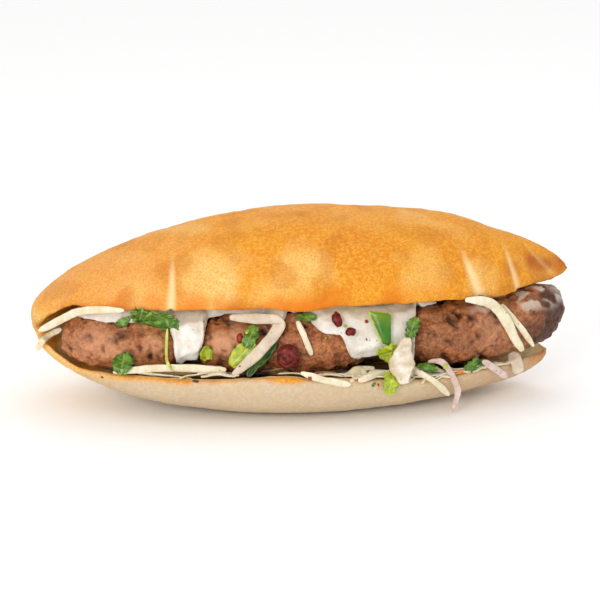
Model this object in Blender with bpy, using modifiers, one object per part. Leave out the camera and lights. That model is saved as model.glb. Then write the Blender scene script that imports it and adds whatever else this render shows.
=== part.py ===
"""Kebab sandwich: an oval flat bread slit along its front, filled with three
minced-meat kebabs, yoghurt sauce, shredded cabbage, onion, herbs and berries.

The frame is +X along the bread, +Y away from the open side and +Z up, with
the origin on the flat spot that the bread rests on. Blender units are metres.
"""

import itertools
import math

import bmesh
import bpy
from mathutils import Vector, noise
from mathutils.bvhtree import BVHTree

MM = 0.001

# Driving dimensions of the bread, in millimetres.
BREAD_LENGTH = 240.0
BREAD_WIDTH = 108.0
CROWN_HEIGHT = 86.0
WIDEST_LEVEL = 38.0
BASE_SINK = 1.5
SLIT_BACK = 16.0
SLIT_BACK_TURN = 18.0
FOLD_RADIUS = 20.0
ROOF_LEVEL = 54.0
FLOOR_LEVEL = 13.5
LIP_LEVEL = 23.0
FLAP_THICKNESS = 3.4
TIP_STRETCH = 4.5
TIP_DROOP = 1.5
LEFT_DROOP = 3.2
LIP_DROOP = 3.6

# Driving dimensions of the filling, in millimetres.
KEBAB_RADIUS = 14.5
KEBAB_FRONT_AXIS = -26.0
KEBAB_AXIS_LEVEL = 31.5
GAP = 0.5
REST_GAP = 0.7
ROOF_GAP = 1.5
STRIP_THICKNESS = 1.3
LEAF_THICKNESS = 0.6

# Loose pieces lie on the open front. Each is placed by its x and its height on a
# level plane across the kebabs, then slid back along one line until it rests.
FRONT_PLANE = -35.0
FALL = math.radians(16.0)
SKEW = math.radians(5.0)
BACKWARD = Vector((math.sin(SKEW) * math.cos(FALL), math.cos(SKEW) * math.cos(FALL), -math.sin(FALL)))
SIDEWAYS = Vector((math.cos(SKEW), -math.sin(SKEW), 0.0))
UPWARD = SIDEWAYS.cross(BACKWARD)


def clear_scene():
    for old in list(bpy.data.objects):
        bpy.data.objects.remove(old, do_unlink=True)


def new_collection(name):
    collection = bpy.data.collections.new(name)
    bpy.context.scene.collection.children.link(collection)
    return collection


def material(name, colour, roughness):
    made = bpy.data.materials.new(name)
    made.use_nodes = True
    shader = made.node_tree.nodes["Principled BSDF"]
    shader.inputs["Base Color"].default_value = (*colour, 1.0)
    shader.inputs["Roughness"].default_value = roughness
    shader.inputs["Metallic"].default_value = 0.0
    return made


def add_object(name, bm, collection, look):
    """Makes an object of a bmesh in millimetres, facing outwards and shaded smooth."""
    bmesh.ops.recalc_face_normals(bm, faces=bm.faces[:])
    if bm.calc_volume(signed=True) < 0:
        bmesh.ops.reverse_faces(bm, faces=bm.faces[:])
    bmesh.ops.scale(bm, vec=(MM, MM, MM), verts=bm.verts[:])
    mesh = bpy.data.meshes.new(name)
    bm.to_mesh(mesh)
    bm.free()
    mesh.shade_smooth()
    made = bpy.data.objects.new(name, mesh)
    if look:
        mesh.materials.append(look)
    collection.objects.link(made)
    return made


def smoothstep(low, high, value):
    share = min(1.0, max(0.0, (value - low) / (high - low)))
    return share * share * (3.0 - 2.0 * share)


def swell(centre, reach, value):
    """1 at the centre, falling smoothly to nothing at the reach on both sides."""
    return 1.0 - smoothstep(0.0, reach, abs(value - centre))


def grain(x, y, z, size, seed=0.0):
    """Smooth noise from -1 to 1 whose lumps measure about size millimetres."""
    return noise.noise(Vector((x / size + seed, y / size, z / size)))


def shell(columns, rows, near, far):
    """A closed solid between two mapped surfaces, both split into triangles alike.

    The layers column and row say where a vertex stands, alike on both surfaces.
    """
    bm = bmesh.new()
    bmesh.ops.create_grid(bm, x_segments=columns, y_segments=rows, size=0.5)
    bmesh.ops.triangulate(bm, faces=bm.faces[:])
    column, row = (bm.verts.layers.int.new(name) for name in ("column", "row"))
    spots = {vert: (vert.co.x + 0.5, vert.co.y + 0.5) for vert in bm.verts}
    for vert, (along, across) in spots.items():
        vert[column], vert[row] = round(along * columns), round(across * rows)
    raised = bmesh.ops.extrude_face_region(bm, geom=bm.faces[:])["geom"]
    for vert in [g for g in raised if isinstance(g, bmesh.types.BMVert)]:
        vert.co = far(vert.co.x + 0.5, vert.co.y + 0.5)
    for vert, (along, across) in spots.items():
        vert.co = near(along, across)
    return bm


# The bread's outer form, as functions of s, the share of the half length.
def half_width(s):
    s = max(-1.0, min(1.0, s))
    roundness = 0.6 if s < 0 else 1.0
    return BREAD_WIDTH / 2 * (1.0 - abs(s) ** 2.3) ** roundness


def widest_level(s):
    return WIDEST_LEVEL + (5.0 * abs(s) ** 3 if s < 0 else 17.0 * s**4)


def height_above(s):
    crown = CROWN_HEIGHT - WIDEST_LEVEL
    if s < 0:
        return crown * (1.0 - abs(s) ** 1.7) ** 0.67
    return crown * (1.0 - s**2.9) ** 0.72


def depth_below(s):
    if s < 0:
        return (WIDEST_LEVEL + BASE_SINK) * (1.0 - abs(s) ** 1.8) ** 0.36
    base = 11.5 * s**1.8 - BASE_SINK
    return (widest_level(s) - base) * math.sqrt(1.0 - s**18)


def base_level(s):
    return max(0.0, widest_level(s) - depth_below(s))


def bread_point(s, turn):
    """A point of the outer skin; turn runs round the section from the back."""
    side, rise = math.cos(turn), math.sin(turn)
    fullness = 2.2 if rise > 0 else 3.0
    height = height_above(s) if rise > 0 else depth_below(s)
    y = half_width(s) * math.copysign(abs(side) ** (2.0 / fullness), side)
    z = widest_level(s) + height * math.copysign(abs(rise) ** (2.0 / fullness), rise)
    x = BREAD_LENGTH / 2 * s + TIP_STRETCH * max(0.0, s) ** 20
    skin = 1.0 if z > 30.0 else z / 30.0
    z += 1.1 * skin * grain(x, y, z, 34.0) + 0.5 * skin * grain(x, y, z, 14.0, 5.0)
    return Vector((x, y, max(0.0, z)))


# The slit: its floor is the lower flap's inner face and its roof the upper's.
def floor_line(s):
    trough = FLOOR_LEVEL + (7.3 if s < 0 else 5.0) * s * s
    return max(trough, base_level(max(-0.95, min(0.93, s))) + FLAP_THICKNESS)


def lip_line(s):
    if s < 0:
        end = min(0.95, max(0.0, (-s - 0.8) / 0.15))
        return LIP_LEVEL + 10.0 * end**1.2 + 1.5 * swell(-0.1, 0.2, s)
    return LIP_LEVEL - 4.0 * smoothstep(0.05, 0.45, s)


def slit_openness(s, y):
    """How far the slit stands open, falling to nothing in the rounded fold behind."""
    fold = SLIT_BACK - SLIT_BACK_TURN * smoothstep(-0.8, -1.0, s)
    share = min(1.0, max(0.0, (y - fold + FOLD_RADIUS) / FOLD_RADIUS))
    return max(0.06, math.sqrt(1.0 - share * share))


def roof_line(s):
    closing = 15.0 * min(1.2, max(0.0, (-s - 0.83) / 0.17)) ** 1.3
    left = LEFT_DROOP * smoothstep(-0.25, -0.8, s)
    right = TIP_DROOP * smoothstep(0.78, 0.93, s) - 2.5 * smoothstep(0.95, 1.03, s)
    return ROOF_LEVEL - closing - left - right


def slit_floor(x, y):
    s = 2.0 * x / BREAD_LENGTH
    low = floor_line(s)
    share = smoothstep(0.45, 0.95, -y / max(6.0, half_width(s)))
    wave = 0.5 * grain(x, y, 0.0, 11.0, 3.0)
    middle = (low + roof_line(s)) / 2
    low = middle - (middle - low) * slit_openness(s, y)
    return low + max(0.0, lip_line(s) - low) * share + wave


def slit_roof(x, y):
    s = 2.0 * x / BREAD_LENGTH
    high = roof_line(s)
    middle = (floor_line(s) + high) / 2
    high = middle + (high - middle) * slit_openness(s, y)
    wave = 0.7 * swell(0.15, 0.12, s) - 1.5 * swell(-0.03, 0.1, s)
    wave += 0.7 * grain(x, 0.0, 0.0, 13.0, 9.0)
    droop = LIP_DROOP * (smoothstep(0.4, 0.77, s) - 0.8 * smoothstep(0.77, 0.92, s))
    droop *= smoothstep(0.5, 0.95, -y / max(6.0, half_width(s)))
    return high + wave * smoothstep(20.0, 50.0, -y) - droop


def make_bread(collection, cutters, look):
    """The slit bread: its outer form less the slit, with the cut lips rounded off."""
    bm = bmesh.new()
    bmesh.ops.create_uvsphere(bm, u_segments=64, v_segments=56, radius=1.0)
    for vert in bm.verts:
        s = max(-1.0, min(1.0, vert.co.z))
        vert.co = bread_point(s, math.atan2(vert.co.y, vert.co.x))
    bread = add_object("bread", bm, collection, look)

    def cut_spot(along, across):
        return -130.0 + 260.0 * along, -80.0 + (80.0 + SLIT_BACK) * across

    def cut_floor(along, across):
        x, y = cut_spot(along, across)
        return Vector((x, y, slit_floor(x, y)))

    def cut_roof(along, across):
        x, y = cut_spot(along, across)
        return Vector((x, y, slit_roof(x, y)))

    slit = add_object("slit_cutter", shell(90, 24, cut_floor, cut_roof), cutters, None)
    slit.hide_render = True
    slit.display_type = "WIRE"
    cut = bread.modifiers.new("slit", "BOOLEAN")
    cut.object = slit
    cut.operation = "DIFFERENCE"
    even = bread.modifiers.new("even", "REMESH")
    even.mode = "VOXEL"
    even.voxel_size = 1.5 * MM
    soft = bread.modifiers.new("soft_lips", "SMOOTH")
    soft.factor = 0.5
    soft.iterations = 7
    fewer = bread.modifiers.new("fewer_faces", "DECIMATE")
    fewer.ratio = 0.043
    return bread


# The kebabs lie end to end along one gently bowed line.
def kebab_axis(x):
    s = 2.0 * x / BREAD_LENGTH
    y = KEBAB_FRONT_AXIS + (14.5 if s < 0 else 22.0) * s * s
    z = KEBAB_AXIS_LEVEL + (3.5 * s * s if s < 0 else 1.5 * s + 7.5 * s**4)
    return y, z


def make_kebab(name, start, end, radius, bluntness, grooves, seed, collection, look):
    """A hand-pressed kebab with blunt ends, finger grooves and a crumbly skin."""
    bm = bmesh.new()
    bmesh.ops.create_uvsphere(bm, u_segments=26, v_segments=24, radius=1.0)
    middle, half = (start + end) / 2, (end - start) / 2
    for vert in bm.verts:
        t = max(-1.0, min(1.0, vert.co.z))
        turn = math.atan2(vert.co.y, vert.co.x)
        x = middle + half * t
        reach = radius(x) * (1.0 - abs(t) ** bluntness) ** 0.42
        for place, width, depth in grooves:
            reach *= 1.0 - depth * swell(place, width, x)
        y, z = kebab_axis(x)
        side, rise = math.cos(turn), math.sin(turn)
        lump = 0.075 * grain(x, 12 * side, 12 * rise, 11.0, seed)
        crumb = 0.035 * grain(x, 12 * side, 12 * rise, 4.5, seed + 3.0)
        reach *= 0.985 + lump + crumb
        vert.co = Vector((x, y + reach * side, z + reach * rise))
    return add_object(name, bm, collection, look)


def make_kebabs(collection, look):
    def left_radius(x):
        return KEBAB_RADIUS - 2.4 * smoothstep(-60.0, -95.0, x)

    def full_radius(x):
        return KEBAB_RADIUS

    left, middle, right = [(-78.0, 7.0, 0.17)], [(-14.0, 7.0, 0.15)], [(94.0, 7.0, 0.12)]
    return [
        make_kebab("kebab_left", -106.0, -52.5, left_radius, 3.6, left, 1.0, collection, look),
        make_kebab("kebab_middle", -48.0, 29.5, full_radius, 3.6, middle, 6.0, collection, look),
        make_kebab("kebab_right", 44.5, 119.8, full_radius, 5.0, right, 11.0, collection, look),
    ]


class Pile:
    """The surfaces laid so far, in millimetres, on which the next piece rests."""

    def __init__(self, objects):
        graph = bpy.context.evaluated_depsgraph_get()
        self.points, self.faces = [], []
        for made in objects:
            mesh = made.evaluated_get(graph).to_mesh()
            first = len(self.points)
            self.points.extend(vert.co / MM for vert in mesh.vertices)
            self.faces.extend([first + i for i in face.vertices] for face in mesh.polygons)
            made.evaluated_get(graph).to_mesh_clear()
        self.tree = BVHTree.FromPolygons(self.points, self.faces)

    def add(self, bm):
        first = len(self.points)
        bm.verts.ensure_lookup_table()
        self.points.extend(vert.co.copy() for vert in bm.verts)
        self.faces.extend([first + vert.index for vert in face.verts] for face in bm.faces)
        self.tree = BVHTree.FromPolygons(self.points, self.faces)

    def room(self, spot, tucked):
        """How far back a point can slide; a tucked one starts behind the lips."""
        start = -130.0
        if tucked:
            lip = -0.86 * half_width(2.0 * spot.x / BREAD_LENGTH)
            meat_front = kebab_axis(spot.x)[0] - KEBAB_RADIUS - 5.0
            start = (min(lip, meat_front) - FRONT_PLANE) / BACKWARD.y
        hit = self.tree.ray_cast(spot + BACKWARD * start, BACKWARD, 260.0)
        return start + hit[3] if hit[0] is not None else None


def keep_clear(bm, tree, push, rounds):
    """Moves a shell along push, both faces together, until it clears the tree."""
    column, row = (bm.verts.layers.int[name] for name in ("column", "row"))
    for _ in range(rounds):
        pushes = {}
        for face in bm.faces:
            spots = [vert.co for vert in face.verts]
            spots += [(a + b) / 2 for a, b in zip(spots, spots[1:] + spots[:1])]
            spots.append(face.calc_center_median())
            short = 0.0
            for spot in spots:
                distance = tree.find_nearest(spot)[3]
                way = push(spot)
                hit = tree.ray_cast(spot, way)
                inside = hit[0] is not None and hit[1].dot(way) > 0
                short = max(short, GAP - (-distance if inside else distance))
            for vert in face.verts:
                place = (vert[column], vert[row])
                pushes[place] = max(pushes.get(place, 0.0), min(short, 0.5))
        for vert in bm.verts:
            vert.co += push(vert.co) * pushes[vert[column], vert[row]]


def make_sauce(kebabs, collection, look):
    """Yoghurt sauce on top of the kebabs, with tongues that run down their front."""
    meat = Pile(kebabs).tree
    start, end = -99.0, 60.0
    # Each tongue: its centre along x, half width, and how many degrees further it runs.
    tongues = (
        (-77.0, 24.0, 30.0),
        (-50.8, 7.2, 104.0),
        (-12.5, 4.0, 42.0),
        (24.0, 23.0, 56.0),
        (28.0, 11.0, 44.0),
        (43.5, 6.5, 108.0),
    )

    def reach_of(x, turn):
        """Distance from the kebabs' axis to their skin, bridged over the gaps."""
        found = 11.5
        for aside, over in ((0.0, 0.0), (-3.6, 0.0), (3.6, 0.0), (0.0, -0.15), (0.0, 0.15)):
            y, z = kebab_axis(x + aside)
            out = Vector((0.0, -math.cos(turn + over), math.sin(turn + over)))
            hit = meat.ray_cast(Vector((x + aside, y, z)) + out * 30.0, -out, 30.0)
            if hit[0] is not None:
                found = max(found, 30.0 - hit[3])
        return found

    def lowest_turn(x):
        low = 82.0 + 5.0 * grain(x, 0.0, 0.0, 9.0, 2.0)
        for place, width, run in tongues:
            low -= run * math.sqrt(max(0.0, 1.0 - (abs(x - place) / width) ** 4.5))
        return math.radians(max(-62.0, low))

    def spot(along, across):
        x = start + (end - start) * along
        high = math.radians(118.0)
        turn = high + (lowest_turn(x) - high) * across
        return x, turn

    def inner(along, across):
        x, turn = spot(along, across)
        y, z = kebab_axis(x)
        reach = reach_of(x, turn) + GAP + 0.2
        return Vector((x, y - reach * math.cos(turn), z + reach * math.sin(turn)))

    def outer(along, across):
        x, turn = spot(along, across)
        rim = min(1.0, 8.0 * min(along, 1.0 - along), 5.0 * (1.0 - across), 6.0 * across)
        thick = 0.7 + 2.0 * math.sqrt(max(0.0, rim)) + 0.4 * grain(x, 9 * turn, 0.0, 7.0)
        thick += 2.4 * smoothstep(math.radians(30.0), math.radians(60.0), turn) * min(1.0, max(0.0, rim))
        point = inner(along, across)
        grown = point + Vector((0.0, -math.cos(turn), math.sin(turn))) * thick
        ceiling = slit_roof(x, grown.y) - ROOF_GAP
        if grown.z > ceiling:
            grown.z = max(ceiling, point.z + 0.5)
        return grown

    def away(point):
        y, z = kebab_axis(point.x)
        return Vector((0.0, point.y - y, point.z - z)).normalized()

    bm = shell(64, 6, inner, outer)
    keep_clear(bm, meat, away, 14)
    for vert in bm.verts:
        vert.co.z = min(vert.co.z, slit_roof(vert.co.x, vert.co.y) - ROOF_GAP)
    return add_object("yoghurt_sauce", bm, collection, look)


def make_salad_bed(kebabs, collection, look):
    """The packed shreds under and behind the kebabs: a core with shreds fused on."""
    meat = Pile(kebabs).tree
    start, end = -84.0, 74.0

    def spot(along, across):
        x = start + (end - start) * along
        s = 2.0 * x / BREAD_LENGTH
        front = -0.80 * half_width(s)
        return x, front + (SLIT_BACK - 6.0 - front) * across

    def under(along, across):
        x, y = spot(along, across)
        return Vector((x, y, slit_floor(x, y) + 1.0))

    def over(along, across):
        x, y = spot(along, across)
        axis_y, axis_z = kebab_axis(x)
        low = under(along, across).z
        top = axis_z + 16.0 if y > axis_y + KEBAB_RADIUS * 1.15 else low + 4.0
        for dx, dy in ((0, 0), (4, 0), (-4, 0), (0, 4), (0, -4)):
            hit = meat.ray_cast(Vector((x + dx, y + dy, low - 6.0)), Vector((0, 0, 1)), 60.0)
            if hit[0] is not None:
                top = min(top, hit[0].z - GAP - 0.6)
        top = min(top + 0.5 * grain(x, y, 0.0, 4.0) - 0.5, slit_roof(x, y) - 1.5)
        return Vector((x, y, max(top, low + 0.9)))

    return add_object("salad_bed", shell(26, 7, under, over), collection, look)


def rest(spots, pile, tucked, thickness, slack):
    """Depths for a grid of spots so that a limp sheet rests on the pile, in front of it."""
    rows, columns = len(spots), len(spots[0])
    limit = [[None] * columns for _ in range(rows)]
    for i in range(rows):
        for j in range(columns):
            found = []
            for k, m in itertools.product((i - 1, i, i + 1), (j - 1, j, j + 1)):
                if 0 <= k < rows and 0 <= m < columns:
                    for share in (0.0, 0.2, 0.4, 0.6):
                        room = pile.room(spots[i][j].lerp(spots[k][m], share), tucked)
                        if room is not None:
                            found.append(room - REST_GAP - thickness)
            limit[i][j] = min(found) if found else None
    known = [value for row in limit for value in row if value is not None]
    furthest = sorted(known)[len(known) // 2]
    depth = [[min(furthest + 4.0, furthest if v is None else v) for v in row] for row in limit]
    for _ in range(slack):
        last = [row[:] for row in depth]
        for i in range(rows):
            for j in range(columns):
                near = [last[k][j] for k in (i - 1, i + 1) if 0 <= k < rows]
                near += [last[i][m] for m in (j - 1, j + 1) if 0 <= m < columns]
                even = (last[i][j] + sum(near)) / (1 + len(near))
                depth[i][j] = even if limit[i][j] is None else min(even, limit[i][j])
    return depth


def forward(_point):
    return -BACKWARD


def sheet(spots, depth, thickness, wave, pile):
    """A thin closed solid whose two faces hang on the same grid of spots."""
    rows, columns = len(spots) - 1, len(spots[0]) - 1

    def face(along, across, back):
        i, j = round(along * rows), round(across * columns)
        lift = wave(along, across)
        return spots[i][j] + BACKWARD * (depth[i][j] - lift + (thickness if back else 0.0))

    def front_face(along, across):
        return face(along, across, False)

    def back_face(along, across):
        return face(along, across, True)

    bm = shell(rows, columns, front_face, back_face)
    keep_clear(bm, pile.tree, forward, 9)
    pile.add(bm)
    return bm


def plane_spot(x, z):
    return Vector((x, FRONT_PLANE, z))


def route_spot(route, share):
    """A point and its direction on a smooth line through a few route points."""
    last = len(route) - 1
    place = min(share * last, last - 1e-6)
    i = int(place)
    t = place - i
    points = [plane_spot(*route[max(0, min(last, k))]) for k in (i - 1, i, i + 1, i + 2)]
    a, b, c, d = points
    spot = 0.5 * (2 * b + (c - a) * t + (2 * a - 5 * b + 4 * c - d) * t**2 + (3 * b - a - 3 * c + d) * t**3)
    way = 0.5 * ((c - a) + 2 * (2 * a - 5 * b + 4 * c - d) * t + 3 * (3 * b - a - 3 * c + d) * t**2)
    return spot, way.normalized()


def add_strip(
    name, route, width, pile, collection, look,
    tucked=True, thickness=STRIP_THICKNESS, steps=10, tip=0.45, taper=6.0,
):
    """A shred, stalk or run of sauce that follows a route over the pile; tip is the width share at its ends."""
    seed = sum(map(ord, name)) * 0.37
    spots = []
    for i in range(steps + 1):
        share = i / steps
        spot, way = route_spot(route, share)
        aside = way.cross(Vector((0.0, -1.0, 0.0)))
        full = tip + (1.0 - tip) * min(1.0, taper * min(share, 1.0 - share))
        half = width / 2 * full * (1.0 + 0.2 * grain(10.0 * share, seed, 0.0, 2.0))
        spots.append([spot - aside * half, spot + aside * half])
    depth = rest(spots, pile, tucked, thickness, 14)
    bm = sheet(spots, depth, thickness, lambda along, across: 0.0, pile)
    return add_object(name, bm, collection, look)


def add_leaf(
    name, x, z, length, width, lean, pile, collection, look, tucked=True, lobes=0.25, thickness=LEAF_THICKNESS
):
    """A torn leaf: wavy, pointed at its tip and lobed along both edges."""
    seed = sum(map(ord, name)) * 0.37
    rows, columns = 5, 4
    along_way = SIDEWAYS * math.cos(math.radians(lean)) + UPWARD * math.sin(math.radians(lean))
    across_way = BACKWARD.cross(along_way)
    spots = []
    for i in range(rows + 1):
        share = i / rows
        outline = 0.16 + 0.84 * math.sin(math.pi * (0.08 + 0.84 * share)) ** 0.8
        outline *= 1.0 + lobes * math.cos(math.pi * 4.0 * share + seed)
        bend = 0.12 * length * math.sin(math.pi * share) * math.sin(seed)
        row = []
        for j in range(columns + 1):
            aside = (j / columns - 0.5) * width * outline + bend
            row.append(plane_spot(x, z) + along_way * length * (share - 0.5) + across_way * aside)
        spots.append(row)
    depth = rest(spots, pile, tucked, thickness, 5)

    def wave(along, across):
        return 0.08 * width * (1.0 + math.sin(7.0 * along + seed) * math.cos(5.0 * across))

    bm = sheet(spots, depth, thickness, wave, pile)
    return add_object(name, bm, collection, look)


def add_berry(name, x, z, length, width, depth, lean, pile, collection, look):
    """A dried berry: a wrinkled, flattened ball resting against the meat."""
    seed = sum(map(ord, name)) * 0.37
    along_way = SIDEWAYS * math.cos(math.radians(lean)) + UPWARD * math.sin(math.radians(lean))
    across_way = BACKWARD.cross(along_way)
    centre = plane_spot(x, z)
    rooms = []
    for i in range(-3, 4):
        for j in range(-3, 4):
            a, b = i / 3.0, j / 3.0
            if a * a + b * b <= 1.01:
                spot = centre + along_way * a * length / 2 + across_way * b * width / 2
                room = pile.room(spot, True)
                if room is not None:
                    rooms.append(room - depth / 2 * math.sqrt(max(0.0, 1.0 - a * a - b * b)))
    centre += BACKWARD * (min(rooms) - GAP)
    bm = bmesh.new()
    bmesh.ops.create_icosphere(bm, subdivisions=2, radius=0.5)
    for vert in bm.verts:
        u, v, w = vert.co
        fold = 1.0 - 0.10 * abs(grain(u, v, w, 0.35, seed))
        vert.co = centre + (along_way * u * length + across_way * v * width + BACKWARD * w * depth) * fold
    pile.add(bm)
    return add_object(name, bm, collection, look)


def add_pepper(name, x, z, pile, collection, look):
    """A square-cut slice of green pepper that leans on the sauce."""
    tall, wide, thick = 14.5, 11.0, 2.2
    rows, columns = 4, 3
    spots = []
    for i in range(rows + 1):
        share = i / rows
        row = []
        for j in range(columns + 1):
            aside = (j / columns - 0.5) * wide * (1.0 - 0.6 * share) + 3.2 * share
            up = (0.5 - share) * tall - 1.2 * (j / columns - 0.5)
            row.append(plane_spot(x, z) + SIDEWAYS * aside + UPWARD * up)
        spots.append(row)
    depth = rest(spots, pile, True, thick, 16)
    bm = sheet(spots, depth, thick, lambda along, across: 0.9 * math.sin(math.pi * across), pile)
    return add_object(name, bm, collection, look)


def add_loose_pieces(pile, collection):
    pale = material("cabbage_shreds", (0.75, 0.66, 0.42), 0.35)
    pink = material("onion", (0.72, 0.55, 0.42), 0.3)
    dark = material("dark_herb", (0.09, 0.17, 0.02), 0.45)
    lime = material("light_leaf", (0.47, 0.50, 0.06), 0.4)
    green = material("green_pepper", (0.12, 0.20, 0.02), 0.3)
    wine = material("dried_berry", (0.17, 0.02, 0.01), 0.35)
    white = material("yoghurt_drop", (0.86, 0.80, 0.70), 0.3)

    def shred(name, route, width, look=pale, **options):
        add_strip(name, route, width, pile, collection, look, **options)

    def leaf(name, x, z, length, width, lean, look=dark, **options):
        add_leaf(name, x, z, length, width, lean, pile, collection, look, **options)

    def berry(name, x, z, length, width, depth, lean):
        add_berry(name, x, z, length, width, depth, lean, pile, collection, wine)

    berry("berry_large", -7.2, 29.0, 12.0, 11.6, 7.0, 70.0)
    berry("berry_small_high", 14.0, 45.0, 8.0, 4.6, 3.2, 105.0)
    berry("berry_small_low", 20.0, 39.2, 5.0, 4.4, 3.2, 0.0)
    shred("cabbage_rim_left", [(-118, 42.8), (-108, 47.6), (-97, 51.8), (-78, 51.5)], 3.8)
    shred("onion_left_tip", [(-119, 33.8), (-116.8, 38.0), (-113, 41.4), (-107.5, 43.6)], 3.0)
    shred("cabbage_floor_left", [(-84, 23.6), (-64, 25.0), (-47, 24.4), (-34, 23.6)], 3.6)
    shred("stalk", [(-60, 43), (-60.5, 33), (-60, 28), (-57.5, 23.5)], 1.4, lime, thickness=1.0)
    leaf("herb_left_outer", -71.4, 48.4, 9.0, 4.8, 0.0)
    leaf("herb_left_inner", -62.5, 46.4, 12.5, 6.4, -14.0)
    leaf("herb_sprig_left", -79.7, 46.6, 6.0, 2.8, 25.0)
    leaf("herb_low_left", -79.0, 27.6, 8.5, 8.0, 80.0)
    leaf("herb_dot_middle", -43.0, 31.0, 5.6, 4.6, 100.0, lime)
    leaf("leaf_lime", -27.3, 30.6, 14.5, 8.4, 48.0, lime, lobes=0.12)
    leaf("herb_on_lime", -23.2, 38.2, 9.5, 5.5, 66.0)
    leaf("leaf_dark_middle", -18.0, 30.2, 23.0, 4.8, 57.0)
    fold = [(-33, 47.2), (-22, 46.4), (-11.2, 45.2), (-13, 39.6), (-17.2, 34.4), (-23, 28.3), (-31.5, 20.8)]
    shred("cabbage_fold", fold, 5.6, steps=16)
    shred("cabbage_middle", [(-3.5, 45.0), (0, 37), (3, 29)], 2.8)
    leaf("herb_top_middle", 0.5, 46.8, 8.5, 3.4, 0.0)
    add_pepper("pepper_slice", 32.4, 40.6, pile, collection, green)
    leaf("herb_top_right", 47.6, 40.2, 9.5, 5.4, 70.0)
    leaf("leaf_lime_low", 37.2, 29.6, 9.0, 7.0, 15.0, lime)
    shred("cabbage_rim_middle", [(-2, 21.6), (9, 17.9), (20, 15.6)], 3.2, tucked=False)
    shred("cabbage_rim_right", [(23, 17.2), (31, 19.6), (40, 20.4)], 3.2, tucked=False)
    leaf("leaf_low_right", 37.4, 16.2, 10.0, 7.2, 78.0, lime, tucked=False)
    drop = [(44.6, 36.0), (43.2, 30.0), (42.4, 24.5), (42.9, 19.5), (43.7, 15.2)]
    shred("yoghurt_drop", drop, 11.0, white, tucked=False, thickness=3.0, steps=12, tip=0.28, taper=2.2)
    shred("cabbage_hanging", [(48, 21.0), (57, 15.6), (64, 8.8)], 3.0, tucked=False)
    leaf("herb_rim_right", 54.0, 22.0, 9.5, 3.8, -8.0)
    hanging = [(54, 24.6), (60, 24.8), (64, 20), (66.7, 14), (68, 9.4), (65.4, 1)]
    shred("onion_hanging", hanging, 3.0, pink, tucked=False)
    leaf("herb_low_right", 75.0, 21.8, 8.0, 5.0, 20.0, lime)
    shred("onion_rim_right", [(79, 24.2), (85, 20.3), (91, 15.8)], 3.6, pink, tucked=False)
    shred("cabbage_right_low", [(93, 27.5), (95.5, 22.0), (96, 17.4)], 5.6, tucked=False)
    shred("cabbage_right_back", [(87.2, 50.2), (92.8, 43.2), (97.6, 37.2), (102.6, 30.0)], 2.8)
    crossing = [(70, 52.5), (79.3, 51.6), (85, 48.3), (89.8, 41.6), (93.3, 34.6), (97.6, 28.1)]
    shred("cabbage_right_long", crossing, 4.6, steps=14)


def main():
    clear_scene()
    food = new_collection("kebab_sandwich")
    cutters = new_collection("cutters")
    crust = material("bread", (0.83, 0.45, 0.14), 0.6)
    meat_look = material("meat", (0.33, 0.14, 0.06), 0.55)
    yoghurt = material("yoghurt", (0.86, 0.80, 0.70), 0.3)
    cabbage = material("cabbage", (0.78, 0.70, 0.45), 0.4)
    bread = make_bread(food, cutters, crust)
    kebabs = make_kebabs(food, meat_look)
    sauce = make_sauce(kebabs, food, yoghurt)
    bed = make_salad_bed(kebabs, food, cabbage)
    add_loose_pieces(Pile([bread, *kebabs, sauce, bed]), food)


main()
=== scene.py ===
import math
import random

import bmesh
import bpy
import numpy as np
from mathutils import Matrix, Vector, noise
from mathutils.bvhtree import BVHTree


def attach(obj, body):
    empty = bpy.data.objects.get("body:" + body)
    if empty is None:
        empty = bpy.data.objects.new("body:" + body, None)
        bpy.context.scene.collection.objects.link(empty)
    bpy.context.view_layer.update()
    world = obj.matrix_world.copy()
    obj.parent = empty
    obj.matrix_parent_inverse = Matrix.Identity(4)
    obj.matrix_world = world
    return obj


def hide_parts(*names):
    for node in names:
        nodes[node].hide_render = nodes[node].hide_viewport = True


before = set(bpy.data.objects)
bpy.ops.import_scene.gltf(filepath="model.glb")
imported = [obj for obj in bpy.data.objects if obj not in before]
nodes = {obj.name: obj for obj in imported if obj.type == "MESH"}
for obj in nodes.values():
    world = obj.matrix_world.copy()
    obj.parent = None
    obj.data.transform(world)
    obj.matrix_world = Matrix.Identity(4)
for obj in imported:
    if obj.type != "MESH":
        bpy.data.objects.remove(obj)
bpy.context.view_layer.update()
dice = random.Random(21)
mm = 0.001


# small helpers shared by every piece
def hexColour(code):
    parts = [int(code[i:i + 2], 16) / 255 for i in (0, 2, 4)]
    linear = [p / 12.92 if p <= 0.04045 else ((p + 0.055) / 1.055) ** 2.4 for p in parts]
    return (*linear, 1.0)


def softStep(low, high, value):
    share = min(1.0, max(0.0, (value - low) / (high - low)))
    return share * share * (3 - 2 * share)


def lumps(point, size, seed=0.0):  # smooth noise, point and size in mm
    return noise.noise(Vector((point.x / size + seed, point.y / size - seed, point.z / size)))


def finishPiece(obj, replaced=()):
    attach(obj, "root")
    if replaced:
        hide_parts(*replaced)
    return obj


def objectFrom(bm, name, material, smooth=True):
    mesh = bpy.data.meshes.new(name)
    bm.to_mesh(mesh)
    bm.free()
    mesh.materials.append(material)
    if smooth:
        mesh.shade_smooth()
    obj = bpy.data.objects.new(name, mesh)
    bpy.context.scene.collection.objects.link(obj)
    return obj


def applyModifiers(obj):
    graph = bpy.context.evaluated_depsgraph_get()
    baked = bpy.data.meshes.new_from_object(obj.evaluated_get(graph))
    old = obj.data
    obj.modifiers.clear()
    obj.data = baked
    bpy.data.meshes.remove(old)
    obj.data.shade_smooth()


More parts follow.
